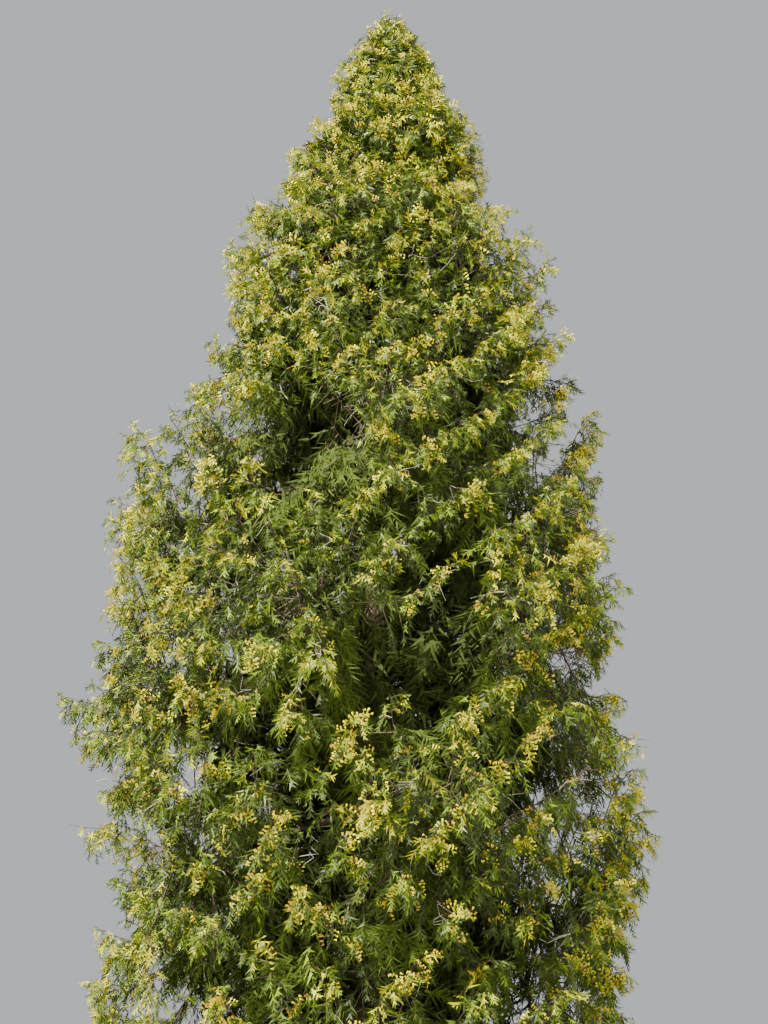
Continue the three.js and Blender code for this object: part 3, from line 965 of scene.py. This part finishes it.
scatter = scatter_tree()
kinds = range(SPRAY_KINDS)
spray_shapes = shapes_collection(
    "spray_shapes", [spray_mesh(f"spray-{i}", SPRAY_FINGERS, FINGER_WIDTH) for i in kinds]
)
old_shapes = shapes_collection(
    "old_shapes", [spray_mesh(f"old-spray-{i}", OLD_SPRAY_FINGERS, OLD_FINGER_WIDTH) for i in kinds]
)
shade_shapes = shapes_collection(
    "shade_shapes",
    [spray_mesh(f"shade-spray-{i}", SHADE_SPRAY_FINGERS, SHADE_FINGER_WIDTH) for i in kinds],
)
groups = [(*tone, LEAF_FINISH, spray_shapes, stands) for tone, stands in zip(TONES, sprays)]
groups.append(("old", OLD_TONE, OLD_LEAF_FINISH, old_shapes, old_sprays))
groups.append(("shade", SHADE_TONE, OLD_LEAF_FINISH, shade_shapes, shade_sprays))
for tone, colour, gloss, shapes, stands in groups:
    finish = plain_material(f"leaf_{tone}", colour, *gloss)
    piece = solid_from(
        f"sprays-{tone}", points_mesh(f"sprays-{tone}", stands), scatter,
        Shapes=shapes, Length=SPRAY_LENGTH, Finish=finish,
    )
    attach(piece, "root")
    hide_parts(*mass_nodes)

# Cones
# Small upright cones stand in dense bunches near the ends of the outer sprays, golden yellow
# while they ripen and tan once they open.
CONES = 6
CONE_SIDES = 3
CONE_LENGTH = 0.022
CONE_WIDTH = 0.75
CONE_RISE = 1.2
CONE_LEAN = 0.2
BUNCH_WIDTH = 1.5
BUNCH_LENGTH = 2.3
BUNCH_START = 0.3
BUNCH_THICKNESS = 0.3
BUNCH_PLACE = (0.4, 0.7)
BUNCH_VARIES = (0.8, 1.25)
BUNCH_COUNT = 8000
CONE_TONES = (
    ("gold", (0.74, 0.59, 0.025)),
    ("straw", (0.90, 0.84, 0.06)),
    ("tan", (0.46, 0.32, 0.03)),
)
CONE_FINISH = (0.6, 0.25)


def bunch_mesh(name):
    """A bunch of cones, each one unit long, pointed at its foot and open at its end"""
    points = []
    faces = []
    for i in range(CONES):
        angle = GOLDEN_ANGLE * i
        reach = math.sqrt((i + BUNCH_START) / CONES)
        across, along = BUNCH_WIDTH * reach * math.cos(angle), BUNCH_LENGTH * reach * math.sin(angle)
        foot = Vector((across, BUNCH_THICKNESS * random(), along))
        axis = Vector((random() - 0.5, CONE_RISE, random() - CONE_LEAN)).normalized()
        side = axis.cross(UP).normalized() * CONE_WIDTH / 2
        over = axis.cross(side)
        first = len(points)
        points.append(foot)
        for j in range(CONE_SIDES):
            turn = 2 * math.pi * j / CONE_SIDES
            points.append(foot + axis + side * math.cos(turn) + over * math.sin(turn))
            faces.append((first, first + 1 + (j + 1) % CONE_SIDES, first + 1 + j))
    mesh = bpy.data.meshes.new(name)
    mesh.from_pydata([tuple(point) for point in points], [], faces)
    return mesh


fruit_chance = BUNCH_COUNT / max(len(fruiting), 1)
bunches = [[] for _ in CONE_TONES]
for spray in fruiting:
    if random() < fruit_chance:
        along = spray.along * spray.size * SPRAY_LENGTH * mix(BUNCH_PLACE, random())
        bunch = bunches[int(random() * len(CONE_TONES))]
        size = mix(BUNCH_VARIES, random())
        bunch.append(Stand(spray.place + along, spray.along, spray.across, size))

bunch_shapes = shapes_collection("bunch_shapes", [bunch_mesh(f"bunch-{i}") for i in kinds])
for (tone, colour), stands in zip(CONE_TONES, bunches):
    material = plain_material(f"cone_{tone}", colour, *CONE_FINISH)
    piece = solid_from(
        f"cones-{tone}", points_mesh(f"cones-{tone}", stands), scatter,
        Shapes=bunch_shapes, Length=CONE_LENGTH, Finish=material,
    )
    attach(piece, "root")
    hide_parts(*mass_nodes)

# Floor and light
# A wide pale floor and a pale surround. A strong light stands high on the left in front, and
# two wide weak ones on the right and behind.
FLOOR_REACH = 150
FLOOR_COLOUR = (0.72, 0.72, 0.70)
FLOOR_FINISH = (0.9, 0.5)
WORLD_COLOUR = (0.80, 0.83, 0.87)
WORLD_STRENGTH = 0.68
LIGHTS = (
    ("key", (-15, -17, 24), 2.6, 36500, (1.0, 0.97, 0.90)),
    ("fill", (20, -14, 12), 12, 1600, (0.92, 0.96, 1.0)),
    ("back", (6, 22, 20), 12, 4000, (1.0, 0.98, 0.95)),
)
LIT_POINT = Vector((0, 0, 8))

floor_mesh = bpy.data.meshes.new("floor")
floor_mesh.from_pydata([
    (-FLOOR_REACH, -FLOOR_REACH, 0), (FLOOR_REACH, -FLOOR_REACH, 0),
    (FLOOR_REACH, FLOOR_REACH, 0), (-FLOOR_REACH, FLOOR_REACH, 0),
], [], [(0, 1, 2, 3)])
floor = bpy.data.objects.new("floor", floor_mesh)
bpy.context.scene.collection.objects.link(floor)
floor_mesh.materials.append(plain_material("floor", FLOOR_COLOUR, *FLOOR_FINISH))

world = bpy.data.worlds.new("surround")
world.use_nodes = True
world.node_tree.nodes["Background"].inputs["Color"].default_value = (*WORLD_COLOUR, 1)
world.node_tree.nodes["Background"].inputs["Strength"].default_value = WORLD_STRENGTH
bpy.context.scene.world = world

for name, place, size, power, colour in LIGHTS:
    light = bpy.data.lights.new(name, "AREA")
    light.shape = "DISK"
    light.size = size
    light.energy = power
    light.color = colour
    lamp = bpy.data.objects.new(name, light)
    lamp.location = place
    lamp.rotation_mode = "QUATERNION"
    lamp.rotation_quaternion = (Vector(place) - LIT_POINT).to_track_quat("Z", "Y")
    bpy.context.scene.collection.objects.link(lamp)
